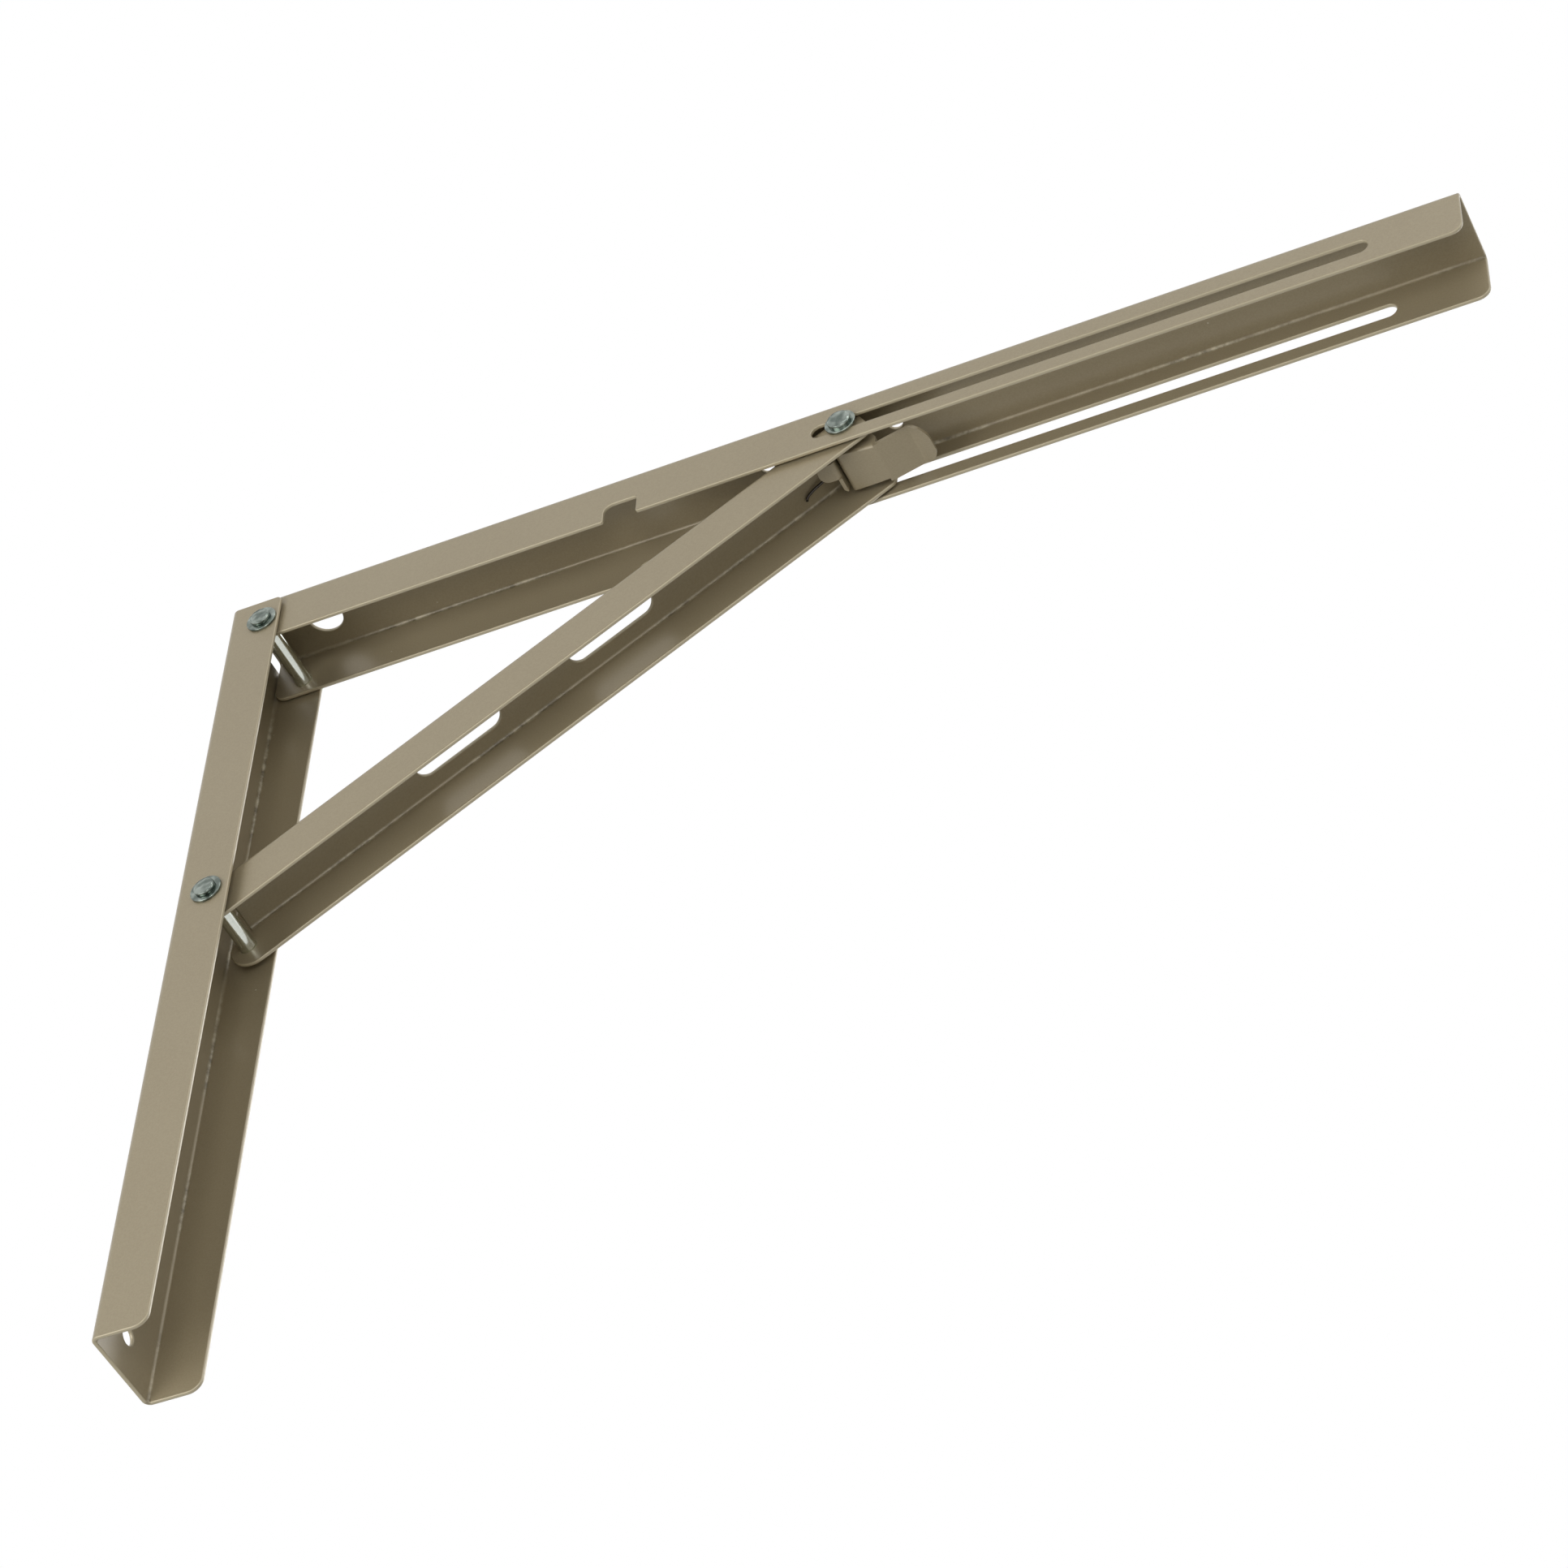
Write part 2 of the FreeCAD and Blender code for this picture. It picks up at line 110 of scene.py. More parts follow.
def seen_directly(tree):
    """One for camera, glossy and transmission rays, and zero for those that only carry light."""
    path = add(tree, "ShaderNodeLightPath").outputs
    mirrored = add(
        tree,
        "ShaderNodeMath",
        {0: path["Is Camera Ray"], 1: path["Is Glossy Ray"]},
        operation="MAXIMUM",
    )
    direct = add(
        tree,
        "ShaderNodeMath",
        {0: mirrored.outputs[0], 1: path["Is Transmission Ray"]},
        operation="MAXIMUM",
    )
    return direct.outputs[0]


world = bpy.data.worlds.new("white_surround")
world.use_nodes = True
world.node_tree.nodes.clear()
tree = world.node_tree
lighting = add(tree, "ShaderNodeBackground", {"Color": srgb("FFFFFF"), "Strength": surround_light})
white = add(tree, "ShaderNodeBackground", {"Color": srgb("FFFFFF"), "Strength": 1.0})
mix = add(tree, "ShaderNodeMixShader", {0: seen_directly(tree), 1: lighting.outputs[0], 2: white.outputs[0]})
add(tree, "ShaderNodeOutputWorld", {0: mix.outputs[0]})
bpy.context.scene.world = world

floor_paint = bpy.data.materials.new("matt_pale_floor_paint")
floor_paint.use_nodes = True
tree = floor_paint.node_tree
tree.nodes.clear()
matt = add(tree, "ShaderNodeBsdfDiffuse", {"Color": srgb("E9E8E4")})
glow = add(tree, "ShaderNodeEmission", {"Color": srgb("F8F7F5"), "Strength": 1.0})
shown = add(tree, "ShaderNodeMath", {0: seen_directly(tree), 1: floor_glow}, operation="MULTIPLY")
mix = add(tree, "ShaderNodeMixShader", {0: shown.outputs[0], 1: matt.outputs[0], 2: glow.outputs[0]})
add(tree, "ShaderNodeOutputMaterial", {0: mix.outputs[0]})

floor_mesh = bpy.data.meshes.new("floor")
corners = [(x * floor_half, y * floor_half, -floor_drop) for x, y in ((-1, -1), (1, -1), (1, 1), (-1, 1))]
floor_mesh.from_pydata(corners, [], [(0, 1, 2, 3)])
floor_mesh.materials.append(floor_paint)
floor = bpy.data.objects.new("floor", floor_mesh)
bpy.context.scene.collection.objects.link(floor)

for name, direction, distance, size, watts in lamps:
    lamp = bpy.data.lights.new(name, "AREA")
    lamp.size = size
    lamp.energy = watts
    holder = bpy.data.objects.new(name, lamp)
    holder.location = studio_centre + direction.normalized() * distance
    holder.rotation_euler = (-direction).to_track_quat("-Z", "Y").to_euler()
    bpy.context.scene.collection.objects.link(holder)

# The wall channel is 1.5 mm mild steel, punched flat with its holes and round corners, and folded
# to a U along two lines. Like the arm and the strut it is powder coated in a satin champagne.
mm = 0.001
sheet = 1.5 * mm
bend_inner_r = 1.2 * mm
bend_steps = 8
edge_r = 0.5 * mm
edge_steps = 3
weld_gap = edge_r / 50
same_place = edge_r / 10
arc_step = math.radians(10)
flat_face_weight = 60
# Cut edges carry a pale rim colour, which is powder build-up and a painted highlight.
rim_highlight_attribute = "powder_rim_and_painted_highlight"
bead_and_shade_attribute = "bead_and_painted_light_in_inner_bends"
rivet_hole_r = 3.05 * mm
screw_hole_r = 3.0 * mm
wall_head_corner_r = 2.0 * mm
wall_foot_corner_r = 5.0 * mm
wall_screw_margin = 14.4 * mm
driver_hole_reach = 14.3 * mm

joints = {joint["name"]: joint for joint in frame["joints"]}
upper_pivot = Vector(joints["fold_hinge"]["pos_m"])
lower_pivot = Vector(joints["strut_hinge"]["pos_m"])
slider_pivot = Vector(joints["latch_hinge"]["pos_m"])
neutral_r = bend_inner_r + sheet / 2
bend_outer_r = bend_inner_r + sheet
bend_run = neutral_r * math.pi / 2


def rounded(corners):
    """Points round a closed outline of (x, y, radius) corners, with an arc wherever the radius isn't 0."""
    points = []
    for i, (x, y, radius) in enumerate(corners):
        corner = Vector((x, y))
        if radius == 0:
            points.append(corner)
            continue
        before = (Vector(corners[i - 1][:2]) - corner).normalized()
        after = (Vector(corners[(i + 1) % len(corners)][:2]) - corner).normalized()
        half = before.angle(after) / 2
        centre = corner + (before + after).normalized() * (radius / math.sin(half))
        first = corner + before * (radius / math.tan(half)) - centre
        turn = math.copysign(math.pi - 2 * half, before.cross(after))
        steps = max(2, round(abs(turn) / arc_step))
        for k in range(steps + 1):
            point = centre + Matrix.Rotation(-turn * k / steps, 2) @ first
            if not points or (point - points[-1]).length > same_place:
                points.append(point)
    return points


def slot_outline(start, end, across, width):
    """Corners of a slot with round ends, from one end to the other."""
    half = width / 2
    return [
        (start, across - half, half),
        (end, across - half, half),
        (end, across + half, half),
        (start, across + half, half),
    ]


def round_hole(x, y, radius):
    """Corners of a round hole."""
    return slot_outline(x - radius, x + radius, y, 2 * radius)


def punched_blank(name, outline, holes):
    """Flat sheet with X along the piece and Y across it, and edges rounded as punch and powder leave them."""
    curve = bpy.data.curves.new(name, "CURVE")
    curve.dimensions = "2D"
    curve.fill_mode = "BOTH"
    curve.extrude = sheet / 2 - edge_r
    curve.bevel_depth = edge_r
    curve.bevel_resolution = edge_steps
    curve.offset = -edge_r
    for loop in [outline] + holes:
        points = rounded(loop)
        spline = curve.splines.new("POLY")
        spline.points.add(len(points) - 1)
        for knot, point in zip(spline.points, points):
            knot.co = (point.x, point.y, 0, 1)
        spline.use_cyclic_u = True
    holder = bpy.data.objects.new(name, curve)
    mesh = bpy.data.meshes.new_from_object(holder)
    bpy.data.objects.remove(holder)
    bpy.data.curves.remove(curve)
    return mesh


def flange_line(height, width, top):
    """Where a point of the folded flange, at this height, lies across the flat blank."""
    return width / 2 - bend_outer_r + bend_run + top - bend_outer_r - height


def folded_channel(name, outline, holes, width, top, place, node, body):
    """Folds a blank down along two lines, stands it in its place and rides it on its body."""
    half_web = width / 2 - bend_outer_r
    mesh = punched_blank(name, outline, holes)
    form = bmesh.new()
    form.from_mesh(mesh)
    bmesh.ops.remove_doubles(form, verts=form.verts, dist=weld_gap)
    rim = form.verts.layers.float.new(rim_highlight_attribute)
    bead_shade_layer = form.verts.layers.float.new(bead_and_shade_attribute)
    for vertex in form.verts:
        vertex[rim] = 1.0 if abs(vertex.co.z) < sheet / 2 - same_place else 0.0
    for side in (-1, 1):
        for k in range(bend_steps + 1):
            line = side * (half_web + bend_run * k / bend_steps)
            everything = form.verts[:] + form.edges[:] + form.faces[:]
            bmesh.ops.bisect_plane(form, geom=everything, plane_co=(0, line, 0), plane_no=(0, 1, 0))
    # A point past a fold line goes round the bend, and then down the flange. The powder bead, with painted
    # shade and highlight, lies on the inner side of the bend, and is fullest half way round it.
    for vertex in form.verts:
        along, across, lift = vertex.co
        past = abs(across) - half_web
        if past <= 0:
            vertex.co.z = top - sheet / 2 + lift
            continue
        angle = min(past / neutral_r, math.pi / 2)
        vertex[bead_shade_layer] = max(0, math.sin(2 * angle)) if lift < edge_r - sheet / 2 else 0.0
        radius = neutral_r + lift
        height = top - bend_outer_r + radius * math.cos(angle) - max(past - bend_run, 0)
        vertex.co = (along, math.copysign(half_web + radius * math.sin(angle), across), height)
    bmesh.ops.transform(form, matrix=place, verts=form.verts)
    bmesh.ops.recalc_face_normals(form, faces=form.faces)
    form.to_mesh(mesh)
    form.free()
    mesh.shade_smooth()
    mesh.materials.append(champagne_coat)
    finished(name, mesh, "powder_coat", body, node)


def finished(name, mesh, slot, body, *nodes):
    """Object at the origin, on the body that it rides with, in place of the CAD nodes that it stands for."""
    piece = bpy.data.objects.new(name, mesh)
    bpy.context.scene.collection.objects.link(piece)
    flats = piece.modifiers.new("flat_faces_stay_flat", "WEIGHTED_NORMAL")
    flats.weight = flat_face_weight
    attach(piece, body)
    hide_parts(*nodes)
    return piece


def surface(name):
    """New material and its node tree, which is still empty."""
    material = bpy.data.materials.new(name)
    material.use_nodes = True
    material.node_tree.nodes.clear()
    return material, material.node_tree


# Polyester powder, sprayed and baked: a satin skin with faint orange peel, and fine mica that makes the tone
# vary a little from spot to spot. Charged powder gathers on cut edges; their pale full rim is partly that
# build-up and partly a painted highlight. It runs into the inner bends as a thin uneven bead, drawn in
# painted shade and painted highlight. A few nibs of powder stand up in the skin.
champagne_coat, tree = surface("champagne_satin_powder_coat")
# Real orange peel is 1 to 2 mm wide. Real mica is finer than 0.1 mm, and is drawn at 0.6 mm to show.
peel_size = 1.6 * mm
peel_depth = 0.05 * mm
mica_size = 0.6 * mm
cloud_size = 45 * mm
bead_shade_size = 5.0 * mm
stretch_size = 30 * mm
nib_spacing = 17 * mm
nib_r = 0.45 * mm
nib_height = 0.2 * mm
place = add(tree, "ShaderNodeTexCoord").outputs["Object"]
clouds = add(tree, "ShaderNodeTexNoise", {"Vector": place, "Scale": 1 / cloud_size, "Detail": 3.0})
mica = add(tree, "ShaderNodeTexNoise", {"Vector": place, "Scale": 1 / mica_size, "Detail": 2.0})
peel = add(tree, "ShaderNodeTexNoise", {"Vector": place, "Scale": 1 / peel_size, "Detail": 1.5})
# In a colour mix, inputs 6 and 7 are its two colours, and output 2 is the result.
base = add(
    tree,
    "ShaderNodeMix",
    {"Factor": clouds.outputs[0], 6: srgb("96896E"), 7: srgb("9D9176")},
    data_type="RGBA",
)
spread = add(
    tree,
    "ShaderNodeMapRange",
    {"Value": mica.outputs[0], "From Min": 0.35, "From Max": 0.65, "To Min": 0.0, "To Max": 0.22},
)
tone = add(
    tree,
    "ShaderNodeMix",
    {"Factor": spread.outputs[0], 6: base.outputs[2], 7: srgb("B3A78B")},
    data_type="RGBA",
)
rim = add(tree, "ShaderNodeAttribute", attribute_name=rim_highlight_attribute).outputs["Fac"]
# The pale rim colour on cut edges is partly powder build-up and partly a painted highlight.
rimmed = add(tree, "ShaderNodeMix", {"Factor": rim, 6: tone.outputs[2], 7: srgb("BCB195")}, data_type="RGBA")
runs = add(
    tree,
    "ShaderNodeTexNoise",
    {"Vector": place, "Scale": 1 / bead_shade_size, "Detail": 4.0, "Roughness": 0.7},
)
bead_shade_split = add(tree, "ShaderNodeMapRange", {"Value": runs.outputs[0], "From Min": 0.4, "From Max": 0.65})
# The bead's dark colour is painted shade in the inner bend, and its pale colour a painted highlight.
bend_shade_and_highlight = add(
    tree,
    "ShaderNodeMix",
    {"Factor": bead_shade_split.outputs[0], 6: srgb("6B624D"), 7: srgb("BFB59A")},
    data_type="RGBA",
)
stretches = add(tree, "ShaderNodeTexNoise", {"Vector": place, "Scale": 1 / stretch_size, "Detail": 1.0})
stretch = add(tree, "ShaderNodeMapRange", {"Value": stretches.outputs[0], "From Min": 0.4, "From Max": 0.6})
bend = add(tree, "ShaderNodeAttribute", attribute_name=bead_and_shade_attribute).outputs["Fac"]
where = add(tree, "ShaderNodeMath", {0: bend, 1: stretch.outputs[0]}, operation="MULTIPLY")
bead_shaded_and_lit = add(
    tree,
    "ShaderNodeMix",
    {"Factor": where.outputs[0], 6: rimmed.outputs[2], 7: bend_shade_and_highlight.outputs[2]},
    data_type="RGBA",
)
nibs = add(tree, "ShaderNodeTexVoronoi", {"Vector": place, "Scale": 1 / nib_spacing})
nib = add(
    tree,
    "ShaderNodeMapRange",
    {"Value": nibs.outputs["Distance"], "From Min": nib_r / nib_spacing, "From Max": 0.0},
)
nibbed = add(
    tree,
    "ShaderNodeMix",
    {"Factor": nib.outputs[0], 6: bead_shaded_and_lit.outputs[2], 7: srgb("D9D0BA")},
    data_type="RGBA",
)
gloss = add(
    tree,
    "ShaderNodeMapRange",
    {"Value": mica.outputs[0], "From Min": 0.3, "From Max": 0.7, "To Min": 0.34, "To Max": 0.44},
)
peeled = add(tree, "ShaderNodeBump", {"Height": peel.outputs[0], "Strength": 0.25, "Distance": peel_depth})
raised = add(
    tree,
    "ShaderNodeBump",
    {"Height": nib.outputs[0], "Strength": 0.6, "Distance": nib_height, "Normal": peeled.outputs[0]},
)
coat = add(
    tree,
    "ShaderNodeBsdfPrincipled",
    {
        "Base Color": nibbed.outputs[2],
        "Roughness": gloss.outputs[0],
        "Normal": raised.outputs[0],
        "Metallic": 0.15,
        "Coat Weight": 0.25,
        "Coat Roughness": 0.2,
    },
)
add(tree, "ShaderNodeOutputMaterial", {0: coat.outputs[0]})

wall_low, wall_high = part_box("wall_channel")
wall_width = wall_high.y - wall_low.y
wall_depth = wall_high.x - wall_low.x
wall_edge = flange_line(-wall_depth, wall_width, 0)
wall_outline = [
    (wall_low.z, -wall_edge, wall_foot_corner_r),
    (wall_high.z, -wall_edge, wall_head_corner_r),
    (wall_high.z, wall_edge, wall_head_corner_r),
    (wall_low.z, wall_edge, wall_foot_corner_r),
]
# A driver reaches the top screw through the hole in the folded arm's web. The middle one is half way.
wall_top_screw = -driver_hole_reach
wall_foot_screw = wall_low.z + wall_screw_margin
wall_holes = [
    round_hole(height, 0, screw_hole_r)
    for height in (wall_top_screw, (wall_top_screw + wall_foot_screw) / 2, wall_foot_screw)
]
for pivot in (upper_pivot, lower_pivot):
    line = flange_line(-pivot.x, wall_width, 0)
    wall_holes += [round_hole(pivot.z, side * line, rivet_hole_r) for side in (-1, 1)]
folded_channel(
    "wall_channel_sheet",
    wall_outline,
    wall_holes,
    width=wall_width,
    top=0,
    place=Matrix.Rotation(math.radians(-90), 4, "Y"),
    node="wall_channel",
    body="wall",
)

# The support arm is a second channel of the same sheet, turned over so that its web lies under the leaf.
# Each flange has a long slot for the slider and a notch that clears the lower rivet when the arm is down.
arm_heel_corner_r = 5.0 * mm
arm_toe_corner_r = 4.5 * mm
slot_width = 6.3 * mm
slot_ends = (210.5 * mm, 408.57 * mm)
notch_ends = (132.6 * mm, 145.0 * mm)
notch_roof = 1.6 * mm
notch_lead_r = 3.4 * mm
notch_trail_r = 1.0 * mm
notch_mouth_r = 0.9 * mm
driver_hole_r = 6.3 * mm
leaf_hole_r = 2.5 * mm
leaf_holes = (187.0 * mm, 235.0 * mm)

arm_low, arm_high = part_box("support_arm")
arm_width = arm_high.y - arm_low.y
arm_top = arm_high.z
arm_start = arm_low.x - upper_pivot.x
arm_end = arm_high.x - upper_pivot.x
arm_edge = flange_line(arm_low.z, arm_width, arm_top)
notch_line = flange_line(notch_roof, arm_width, arm_top)
arm_outline = [
    (arm_start, -arm_edge, arm_heel_corner_r),
    (notch_ends[0], -arm_edge, notch_mouth_r),
    (notch_ends[0], -notch_line, notch_lead_r),
    (notch_ends[1], -notch_line, notch_trail_r),
    (notch_ends[1], -arm_edge, notch_mouth_r),
    (arm_end, -arm_edge, arm_toe_corner_r),
    (arm_end, arm_edge, arm_toe_corner_r),
    (notch_ends[1], arm_edge, notch_mouth_r),
    (notch_ends[1], notch_line, notch_trail_r),
    (notch_ends[0], notch_line, notch_lead_r),
    (notch_ends[0], arm_edge, notch_mouth_r),
    (arm_start, arm_edge, arm_heel_corner_r),
]
arm_holes = [round_hole(driver_hole_reach, 0, driver_hole_r)]
arm_holes += [round_hole(reach, 0, leaf_hole_r) for reach in leaf_holes]
for side in (-1, 1):
    arm_holes.append(round_hole(0, side * flange_line(0, arm_width, arm_top), rivet_hole_r))
    slot_line = side * flange_line(slider_pivot.z, arm_width, arm_top)
    arm_holes.append(slot_outline(slot_ends[0], slot_ends[1], slot_line, slot_width))
folded_channel(
    "support_arm_sheet",
    arm_outline,
    arm_holes,
    width=arm_width,
    top=arm_top,
    place=Matrix.Translation(upper_pivot),
    node="support_arm",
    body="arm",
)

# The strut is the third and narrowest channel, and slips inside the arm. Its web stops short at both ends,
# so that two lugs are left to take the rivets, and two long windows lighten it.
strut_back = 8.5 * mm
strut_depth = 18.3 * mm
strut_tail = 6.9 * mm
strut_nose = 7.0 * mm
strut_web_setback = 4.0 * mm
strut_tail_r = 8.0 * mm
strut_tail_back_r = 5.5 * mm
strut_nose_drop = 4.2 * mm
strut_nose_top_r = 2.2 * mm
strut_nose_r = 4.5 * mm
window_centres = (96.8 * mm, 160.9 * mm)
window_length = 34.6 * mm
window_width = 9.3 * mm

strut_low, strut_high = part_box("strut")
strut_width = strut_high.y - strut_low.y
run = slider_pivot - lower_pivot
strut_length = run.length
strut_tilt = math.atan2(run.z, run.x)
lug_top = strut_back - bend_outer_r
fold_line = flange_line(lug_top, strut_width, strut_back)
strut_edge = flange_line(strut_back - strut_depth, strut_width, strut_back)
nose_line = flange_line(lug_top - strut_nose_drop, strut_width, strut_back)
near_side = [
    (-strut_tail, fold_line, strut_tail_back_r),
    (-strut_tail, strut_edge, strut_tail_r),
    (strut_length + strut_nose, strut_edge, strut_nose_r),
    (strut_length + strut_nose, nose_line, strut_nose_top_r),
    (strut_length, fold_line, 0),
]
strut_outline = [(strut_web_setback, fold_line, 0)] + near_side
strut_outline += [(x, -y, radius) for x, y, radius in reversed(strut_outline)]
strut_holes = []
for side in (-1, 1):
    line = side * flange_line(0, strut_width, strut_back)
    strut_holes += [round_hole(reach, line, rivet_hole_r) for reach in (0, strut_length)]
for centre in window_centres:
    strut_holes.append(slot_outline(centre - window_length / 2, centre + window_length / 2, 0, window_width))
folded_channel(
    "strut_sheet",
    strut_outline,
    strut_holes,
    width=strut_width,
    top=strut_back,
    place=Matrix.Translation(lower_pivot) @ Matrix.Rotation(-strut_tilt, 4, "Y"),
    node="strut",
    body="strut",
)

# Two 6 mm steel rivets carry the arm and the strut. Each has a pressed round head on the far side; its near
# end is upset cold over a washer, which leaves a flat face with hammer dents. The steel is zinc plated.
pin_r = 3.0 * mm
peen_r = 3.8 * mm
peen_edge_r = 1.0 * mm
head_edge_r = 1.3 * mm
seat_edge_r = 0.2 * mm
dent_depth = 0.6 * mm
dent_size = 2.0 * mm
ring_steps = 64
face_rings = 4


def turned(name, outline):
    """Mesh turned about Y from corners of (radius, y, corner radius), from the axis and back to it."""
    form = bmesh.new()
    rings = []
    for point in rounded(outline):
        count = ring_steps if point.x > same_place else 1
        turns = [2 * math.pi * k / ring_steps for k in range(count)]
        rings.append([form.verts.new((point.x * math.cos(a), point.y, point.x * math.sin(a))) for a in turns])
    for first, second in zip(rings, rings[1:]):
        for k in range(ring_steps):
            around = [first[k % len(first)], first[(k + 1) % len(first)]]
            around += [second[(k + 1) % len(second)], second[k % len(second)]]
            form.faces.new(list(dict.fromkeys(around)))
    bmesh.ops.recalc_face_normals(form, faces=form.faces)
    mesh = bpy.data.meshes.new(name)
    form.to_mesh(mesh)
    form.free()
    mesh.shade_smooth()
    return mesh


def upset_end(end, seat, radius):
    """Corners of the flat face and shoulder that upsetting leaves, from the axis down to the washer."""
    flat = radius - peen_edge_r
    corners = [(flat * k / face_rings, end, 0) for k in range(face_rings)]
    return corners + [(radius, end, peen_edge_r), (radius, seat, seat_edge_r), (pin_r, seat, 0)]


def pressed_head(face, top, radius):
    """Corners of the round head, from the pin out and up to the axis."""
    return [(pin_r, face, 0), (radius, face, seat_edge_r), (radius, top, head_edge_r), (0, top, 0)]


def geometry_tree(name, *sockets):
    """Node tree that takes and gives geometry and has these named inputs, and its input sockets."""
    tree = bpy.data.node_groups.new(name, "GeometryNodeTree")
    tree.interface.new_socket("Geometry", in_out="OUTPUT", socket_type="NodeSocketGeometry")
    tree.interface.new_socket("Geometry", in_out="INPUT", socket_type="NodeSocketGeometry")
    for label, kind in sockets:
        tree.interface.new_socket(label, in_out="INPUT", socket_type="NodeSocket" + kind)
    return tree, add(tree, "NodeGroupInput").outputs


def made_by(tree, shape, values):
    """Plain mesh that a node tree makes from this mesh or curve, with its named inputs set."""
    holder = bpy.data.objects.new(tree.name, shape)
    bpy.context.scene.collection.objects.link(holder)
    modifier = holder.modifiers.new(tree.name, "NODES")
    modifier.node_group = tree
    for item in tree.interface.items_tree:
        if item.name in values:
            modifier[item.identifier] = values[item.name]
    made = holder.evaluated_get(bpy.context.evaluated_depsgraph_get())
    mesh = bpy.data.meshes.new_from_object(made)
    holder.modifiers.remove(modifier)
    bpy.data.objects.remove(holder)
    return mesh


# Cold-headed mild steel, barrel plated with bright zinc and passivated blue-clear: a grey mirror with a cool
# green cast, clouded where the barrel has rubbed it. The heads, ends and washers are painted darker in
# mottles, a painted dark reflection with some of the duller finish that heading leaves. Real rub marks are
# 0.3 to 1 mm; these are 0.8 mm. Real drawing lines are finer than these 0.25 mm.
bright_zinc, tree = surface("bright_zinc_plated_steel")
rub_size = 0.8 * mm
reflection_patch_size = 3.0 * mm
draw_size = 0.25 * mm
draw_stretch = 14
draw_depth = 0.02 * mm
shank_half = 14.0 * mm
painted_dark_from = 15.0 * mm
place = add(tree, "ShaderNodeTexCoord").outputs["Object"]
rubbed = add(tree, "ShaderNodeTexNoise", {"Vector": place, "Scale": 1 / rub_size, "Detail": 3.0})
along_pin = add(tree, "ShaderNodeMapping", {"Vector": place, "Scale": (1, 1 / draw_stretch, 1)})
drawn = add(
    tree,
    "ShaderNodeTexNoise",
    {"Vector": along_pin.outputs[0], "Scale": 1 / draw_size, "Detail": 1.0},
)
shank = add(
    tree,
    "ShaderNodeMix",
    {"Factor": rubbed.outputs[0], 6: srgb("D2D9D0"), 7: srgb("F0F3EC")},
    data_type="RGBA",
)
reflection_noise = add(tree, "ShaderNodeTexNoise", {"Vector": place, "Scale": 1 / reflection_patch_size, "Detail": 1.0})
reflection_patches = add(tree, "ShaderNodeMapRange", {"Value": reflection_noise.outputs[0], "From Min": 0.36, "From Max": 0.66})
# Darker mottled colour on the heads, ends and washers: a painted dark reflection, partly the duller finish of
# heading.
ends_painted_dark_reflection = add(
    tree,
    "ShaderNodeMix",
    {"Factor": reflection_patches.outputs[0], 6: srgb("656E68"), 7: srgb("9AA29B")},
    data_type="RGBA",
)
across = add(tree, "ShaderNodeSeparateXYZ", {0: place}).outputs["Y"]
outward = add(tree, "ShaderNodeMath", {0: across}, operation="ABSOLUTE")
painted_dark_ends = add(
    tree,
    "ShaderNodeMapRange",
    {"Value": outward.outputs[0], "From Min": shank_half, "From Max": painted_dark_from},
)
tone = add(
    tree,
    "ShaderNodeMix",
    {"Factor": painted_dark_ends.outputs[0], 6: shank.outputs[2], 7: ends_painted_dark_reflection.outputs[2]},
    data_type="RGBA",
)
gloss = add(
    tree,
    "ShaderNodeMapRange",
    {"Value": rubbed.outputs[0], "From Min": 0.3, "From Max": 0.7, "To Min": 0.10, "To Max": 0.20},
)
lines = add(tree, "ShaderNodeBump", {"Height": drawn.outputs[0], "Strength": 0.2, "Distance": draw_depth})
plate = add(
    tree,
    "ShaderNodeBsdfPrincipled",
    {
        "Base Color": tone.outputs[2],
        "Roughness": gloss.outputs[0],
        "Normal": lines.outputs[0],
        "Metallic": 1.0,
    },
)
add(tree, "ShaderNodeOutputMaterial", {0: plate.outputs[0]})

riveting, given = geometry_tree(
    "rivets_along_a_line",
    ("First Place", "Vector"),
    ("Last Place", "Vector"),
    ("Count", "Int"),
    ("Dented Below", "Float"),
    ("Dent Depth", "Float"),
    ("Dent Size", "Float"),
    ("Seed", "Int"),
    ("Finish", "Material"),
)
line = add(
    riveting,
    "GeometryNodeMeshLine",
    {"Count": given["Count"], "Start Location": given["First Place"], "Offset": given["Last Place"]},
    mode="END_POINTS",
)
copies = add(
    riveting,
    "GeometryNodeInstanceOnPoints",
    {"Points": line.outputs[0], "Instance": given["Geometry"]},
)
real = add(riveting, "GeometryNodeRealizeInstances", {0: copies.outputs[0]})
spot = add(riveting, "GeometryNodeInputPosition").outputs[0]
level = add(riveting, "ShaderNodeSeparateXYZ", {0: spot}).outputs["Y"]
on_face = add(
    riveting,
    "FunctionNodeCompare",
    {"A": level, "B": given["Dented Below"]},
    operation="LESS_THAN",
)
fineness = add(riveting, "ShaderNodeMath", {0: 1.0, 1: given["Dent Size"]}, operation="DIVIDE")
blows = add(
    riveting,
    "ShaderNodeTexNoise",
    {"Vector": spot, "W": given["Seed"], "Scale": fineness.outputs[0], "Detail": 0.0},
    noise_dimensions="4D",
)
sunk = add(riveting, "ShaderNodeMath", {0: blows.outputs[0], 1: given["Dent Depth"]}, operation="MULTIPLY")
push = add(riveting, "ShaderNodeCombineXYZ", {"Y": sunk.outputs[0]})
dented = add(
    riveting,
    "GeometryNodeSetPosition",
    {"Geometry": real.outputs[0], "Selection": on_face.outputs[0], "Offset": push.outputs[0]},
)
plated = add(
    riveting,
    "GeometryNodeSetMaterial",
    {"Geometry": dented.outputs[0], "Material": given["Finish"]},
)
add(riveting, "NodeGroupOutput", {0: plated.outputs[0]})


